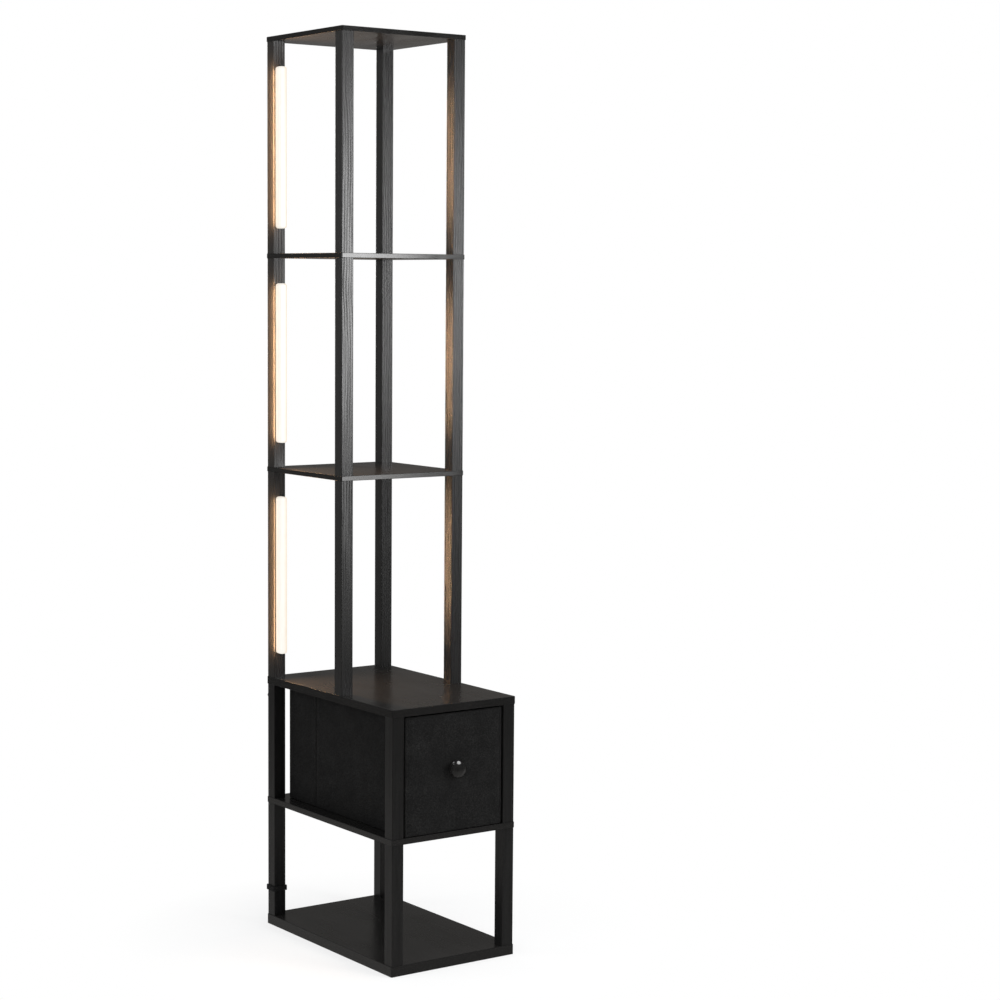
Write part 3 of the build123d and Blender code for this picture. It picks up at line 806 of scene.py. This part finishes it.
def close_mesh(inside=False):
    """Merges doubles, turns all faces one way and leaves edit mode."""
    bpy.ops.mesh.select_all(action="SELECT")
    bpy.ops.mesh.remove_doubles(threshold=merge_distance)
    bpy.ops.mesh.normals_make_consistent(inside=inside)
    bpy.ops.object.mode_set(mode="OBJECT")


def apply_all(piece):
    """Applies a piece's modifiers in order."""
    for modifier in list(piece.modifiers):
        bpy.ops.object.modifier_apply(modifier=modifier.name)


def settle(piece, body, finish, angle):
    """Smooth shading, the finish, and the body that the piece rides on."""
    bpy.ops.object.shade_smooth_by_angle(angle=math.radians(angle))
    piece.data.materials.clear()
    piece.data.materials.append(finish)
    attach(piece, body)
    low = [round(min(v.co[i] for v in piece.data.vertices), 4) for i in range(3)]
    high = [round(max(v.co[i] for v in piece.data.vertices), 4) for i in range(3)]
    print(piece.name, "faces:", len(piece.data.polygons), "from", low, "to", high)


# %% [markdown]
# ## The bin's cloth cover
# The drawer is a cloth bin: cloth glued round card panels, with its top edge turned over
# the card and down inside. So the cover starts as a box with no lid, with its upright
# corners rounded where the cloth bridges two cards and its foot rounded a little less.
# The lining will start the same way, so this is a function.

# %% Open box with rounded corners
bin_low, bin_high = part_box("bin_cover")
bin_middle = (bin_low + bin_high) / 2
corner_round = 0.0032
foot_round = 0.0018


def open_box(name, low, high, corner, foot, segments):
    """A box with no lid, with rounded upright corners and a rounded foot."""
    box = add_box(name, low, high)
    pick(box, "FACE", lambda f: f.normal.z > 0.9)
    bpy.ops.mesh.delete(type="FACE")
    pick(box, "EDGE", lambda e: runs_along(e, 2))
    bpy.ops.mesh.bevel(offset=corner, segments=segments, affect="EDGES")
    pick(box, "EDGE", lambda e: middle_of(e).z < low.z + close_by and len(e.link_faces) == 2)
    bpy.ops.mesh.bevel(offset=foot, segments=segments, affect="EDGES")
    return box


cover = open_box("bin_cloth_cover", bin_low, bin_high, corner_round, foot_round, segments=4)
print("bin box:", [round(v * 1000, 1) for v in bin_high - bin_low], "mm")

# %% [markdown]
# The cloth is two halves that lap once on each long wall, the left lap towards the rear
# and the right one towards the front. A lap shows as a fine groove beside a band that is
# raised by the second layer. On the front and the rear, a crease shows near each corner,
# where a card ends. All of these need lines of their own in the grid.

# %% Grid on the cover
grid_step = 0.0115
wall_margin = 0.005
rim_margin = 0.003
lap_seams = {-1: 0.081, 1: -0.104}
lap_width = 0.013
lap_half = 0.0009
crease_from_corner = 0.0048
crease_half = 0.0008

lap_cuts = []
for sign, seam in lap_seams.items():
    lap_end = seam - sign * lap_width
    lap_cuts += [seam - lap_half, seam, seam + lap_half, lap_end - lap_half, lap_end + lap_half]
crease_x = bin_high.x - crease_from_corner
crease_cuts = [crease_x - crease_half, crease_x, crease_x + crease_half]
cut_at(0, even(-crease_x, crease_x, grid_step) + crease_cuts + [-x for x in crease_cuts])
cut_between(1, bin_low.y + wall_margin, bin_high.y - wall_margin, lap_cuts, grid_step)
cut_at(2, even(bin_low.z + foot_round, bin_high.z - rim_margin, grid_step))
print("laps at y =", sorted(lap_seams.values()), "m, creases at x =", round(crease_x, 4), "m")

# %% [markdown]
# With the lines in place, the points on them are picked by where they are and moved by a
# fraction of a millimetre: inwards along a seam, outwards over the second layer, and
# inwards again along each crease.

# %% Laps and creases
lap_depth = 0.0006
lap_rise = 0.0005
crease_depth = 0.0005
skin = 0.0004


def on_side(v, sign):
    """True for a point on the outside of the left (-1) or right (1) wall."""
    return v.co.x * sign > bin_high.x - skin and v.co.z > bin_low.z + foot_round


def on_end(v, wall):
    """True for a point on the outside of the front or rear wall."""
    return abs(v.co.y - wall) < skin and v.co.z > bin_low.z + foot_round


for sign, seam in lap_seams.items():
    found = pick(cover, "VERT", lambda v: on_side(v, sign) and abs(v.co.y - seam) < close_by)
    bpy.ops.transform.translate(value=(-sign * lap_depth, 0, 0))
    band = sorted((seam - sign * lap_half, seam - sign * (lap_width - lap_half)))
    pick(
        cover, "VERT",
        lambda v: on_side(v, sign) and band[0] - close_by < v.co.y < band[1] + close_by,
    )
    bpy.ops.transform.translate(value=(sign * lap_rise, 0, 0))
    print("lap points on a side:", found)
for inward, wall in ((1, bin_low.y), (-1, bin_high.y)):
    found = pick(
        cover, "VERT",
        lambda v: on_end(v, wall) and abs(abs(v.co.x) - crease_x) < close_by,
    )
    bpy.ops.transform.translate(value=(0, inward * crease_depth, 0))
    print("crease points on an end:", found)

# %% [markdown]
# The rim is the hem: the cloth rises over the card in a half round, and goes down inside
# for the width of a finger. Each step extrudes the open edge and then draws it in on
# both axes, by a scale that is worked out from the width that is wanted.

# %% Hem rolled over the rim
wall_depth = 0.0041
roll_radius = wall_depth / 2
roll_steps = 6
rim_band = 0.0001
hem_drops = (0.004, 0.005, 0.005)
hem_depth = sum(hem_drops)
bin_size = bin_high - bin_low


def drawn_in(rise, inset, new_inset):
    """Extrudes the selected rim upwards, then draws it in to a new inset."""
    bpy.ops.mesh.extrude_region_move(TRANSFORM_OT_translate={"value": (0, 0, rise)})
    scale = [(bin_size[i] - 2 * new_inset) / (bin_size[i] - 2 * inset) for i in (0, 1)]
    bpy.ops.transform.resize(value=(scale[0], scale[1], 1), center_override=bin_middle)


pick(cover, "EDGE", lambda e: e.is_boundary and middle_of(e).z > bin_high.z - rim_band)
bpy.ops.transform.translate(value=(0, 0, -roll_radius))
inset, level = 0.0, 0.0
for step in range(1, roll_steps + 1):
    turn = math.pi * step / roll_steps
    new_inset = roll_radius * (1 - math.cos(turn))
    new_level = roll_radius * math.sin(turn)
    drawn_in(new_level - level, inset, new_inset)
    inset, level = new_inset, new_level
for drop in hem_drops:
    drawn_in(-drop, inset, inset)
close_mesh()
print("hem:", round(hem_depth * 1000, 1), "mm inside a wall of", wall_depth * 1000, "mm")

# %% [markdown]
# Cloth glued on card is nearly flat, so there is nothing here for a simulation to drape.
# A slow swell of half a millimetre is enough. A vertex group holds it back near the
# edges, where the card holds the cloth tight, and underneath, where the bin slides on its
# shelf. Then the sheet gets its thickness, inwards.

# %% Slow swell and thickness
cover_thick = 0.0008
cover_swell = 0.0011
cover_slack = 0.05
swell_size = 0.075
flat_height = 0.0005


def slack_group(piece, low, high, reach):
    """A vertex group, full in the middle of a wall, empty near its edges and underneath."""
    group = piece.vertex_groups.new(name="slack")
    for v in piece.data.vertices:
        gaps = sorted(abs(v.co[i] - end[i]) for i in (0, 1, 2) for end in (low, high))
        underneath = v.co.z < low.z + flat_height
        group.add([v.index], 0.0 if underneath else min(1.0, gaps[1] / reach), "REPLACE")
    return group.name


def add_swell(piece, group, amount, size, depth):
    """A slow displacement in the slack parts, with lumps of that size."""
    slow = bpy.data.textures.new(piece.name + "_swell", "CLOUDS")
    slow.noise_scale = size
    slow.noise_depth = depth
    puff = piece.modifiers.new("swell", "DISPLACE")
    puff.texture = slow
    puff.texture_coords = "LOCAL"
    puff.vertex_group = group
    puff.strength = amount
    puff.mid_level = 0.5


def add_thickness(piece, thick):
    """A wall of cloth behind the faces."""
    wall = piece.modifiers.new("cloth", "SOLIDIFY")
    wall.thickness = thick
    wall.offset = -1.0
    wall.use_even_offset = True


group = slack_group(cover, bin_low, bin_high, cover_slack)
add_swell(cover, group, cover_swell, swell_size, depth=1)
add_thickness(cover, cover_thick)
apply_all(cover)
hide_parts("bin_cover")
settle(cover, "drawer", cloth_finish, angle=35)

# %% [markdown]
# The flat cut of the cover is a strip that goes once round the bin, as tall as a wall
# with its hem and half of the floor on each long side.

# %% [markdown]
# ## The bin's lining
# Inside, a thinner cloth covers the cards. It is a second open box, just inside the
# walls and under the hem. Where the cover laps on a long wall, the lining has a seam too,
# and the glue has left a soft ridge on each side of it. The seam itself stays at the
# card, because a furrow there would cut into it.

# %% Lining with its seams
lining_low, lining_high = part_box("bin_lining")
lining_wall = 0.001
lining_round = 0.002
lining_margin = 0.004
foot_margin = 0.003
hem_margin = 0.001
ridge_step = 0.0015
ridge_rises = {1: 0.0009, 2: 0.00036}

inner_low = lining_low + Vector((lining_wall, lining_wall, lining_wall))
inner_high = Vector((lining_high.x - lining_wall, lining_high.y - lining_wall, lining_high.z))
seam_low, seam_high = inner_low.z + lining_margin, bin_high.z - hem_depth - lining_margin
seam_cuts = [seam + ridge_step * i for seam in lap_seams.values() for i in (-2, -1, 0, 1, 2)]

lining = open_box("bin_lining_cloth", inner_low, inner_high, lining_round, lining_round, segments=3)
cut_at(0, even(inner_low.x + lining_margin, inner_high.x - lining_margin, grid_step))
cut_between(1, inner_low.y + lining_margin, inner_high.y - lining_margin, seam_cuts, grid_step)
cut_at(2, even(inner_low.z + foot_margin, inner_high.z - hem_margin, grid_step))
for sign, seam in lap_seams.items():
    for steps, rise in ridge_rises.items():
        found = pick(
            lining, "VERT",
            lambda v: v.co.x * sign > inner_high.x - skin
            and seam_low < v.co.z < seam_high
            and abs(abs(v.co.y - seam) - steps * ridge_step) < close_by,
        )
        bpy.ops.transform.translate(value=(-sign * rise, 0, 0))
    print("ridge points on a side:", found)
close_mesh(inside=True)

# %% [markdown]
# The lining gets the same slow swell as the cover, a little weaker, and a thinner wall.

# %% Swell and thickness of the lining
lining_thick = 0.0007
lining_swell = 0.0008
lining_slack = 0.04

group = slack_group(lining, inner_low, inner_high, lining_slack)
add_swell(lining, group, lining_swell, swell_size, depth=1)
add_thickness(lining, lining_thick)
apply_all(lining)
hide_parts("bin_lining")
settle(lining, "drawer", lining_finish, angle=35)

# %% [markdown]
# ## The board on the bin's floor
# A loose card keeps the floor flat. It is wrapped in the lining cloth, so its edges are
# soft and its upper face swells a little between them. A box with one bevel would look
# like a tile; a grid and the same slow swell as the walls make it cloth.

# %% Wrapped floor board
board_low, board_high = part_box("bin_floor_board")
wrap_corner = 0.003
wrap_edge = 0.0009
wrap_margin = 0.004
wrap_step = 0.016
wrap_swell = 0.0008
wrap_lump = 0.06
wrap_slack = 0.03


def on_flat_rim(edge):
    """True for an edge between a flat face of the board and its side."""
    tilts = [abs(face.normal.z) for face in edge.link_faces]
    return len(tilts) == 2 and sum(tilts) > 0.9 and not runs_along(edge, 2)


wrapped = add_box("bin_floor_cloth", board_low, board_high)
pick(wrapped, "EDGE", lambda e: runs_along(e, 2))
bpy.ops.mesh.bevel(offset=wrap_corner, segments=4, affect="EDGES")
pick(wrapped, "EDGE", on_flat_rim)
bpy.ops.mesh.bevel(offset=wrap_edge, segments=3, affect="EDGES")
cut_at(0, even(board_low.x + wrap_margin, board_high.x - wrap_margin, wrap_step))
cut_at(1, even(board_low.y + wrap_margin, board_high.y - wrap_margin, wrap_step))
close_mesh()
group = slack_group(wrapped, board_low, board_high, wrap_slack)
add_swell(wrapped, group, wrap_swell, wrap_lump, depth=2)
apply_all(wrapped)
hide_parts("bin_floor_board")
settle(wrapped, "drawer", lining_finish, angle=35)

# %% [markdown]
# ## The strap on the rear leg
# A short strap goes round the rear left leg near the floor, to hold a lead against it.
# Only its two ends stand out in the photograph. It is a band with soft edges, and its
# loose end lies over itself at the back, so the band is a ring of faces with a second
# layer raised on its rear side.

# %% Strap band with its lapped end
strap_low, strap_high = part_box("cord_strap")
strap_middle = (strap_low + strap_high) / 2
strap_thick = 0.0026
strap_corner = 0.0035
strap_step = 0.003
strap_edge = 0.0006
strap_lap_rise = 0.0009
strap_lap_reach = 0.006
strap_soft_angle = 40
strap_lap_end = strap_middle.x + strap_lap_reach

strap = add_box("leg_strap", strap_low, strap_high)
pick(strap, "FACE", lambda f: abs(f.normal.z) > 0.9)
bpy.ops.mesh.delete(type="FACE")
pick(strap, "EDGE", lambda e: runs_along(e, 2))
bpy.ops.mesh.bevel(offset=strap_corner, segments=5, affect="EDGES")
cut_at(0, even(strap_low.x + strap_corner, strap_high.x - strap_corner, strap_step))
cut_at(1, even(strap_low.y + strap_corner, strap_high.y - strap_corner, strap_step))
pick(strap, "FACE", lambda f: f.normal.y > 0.9 and f.calc_center_median().x < strap_lap_end)
bpy.ops.mesh.extrude_region_move(TRANSFORM_OT_translate={"value": (0, strap_lap_rise, 0)})
close_mesh()
wall = strap.modifiers.new("band", "SOLIDIFY")
wall.thickness = strap_thick
wall.offset = -1.0
soft = strap.modifiers.new("soft_edges", "BEVEL")
soft.width = strap_edge
soft.segments = 3
soft.limit_method = "ANGLE"
soft.angle_limit = math.radians(strap_soft_angle)
apply_all(strap)
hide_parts("cord_strap")
settle(strap, "frame", strap_finish, angle=40)

# %% [markdown]
# ## The last cell
# Looks must not make the lamp bigger. This cell only imports json.

# %% Import json
import json
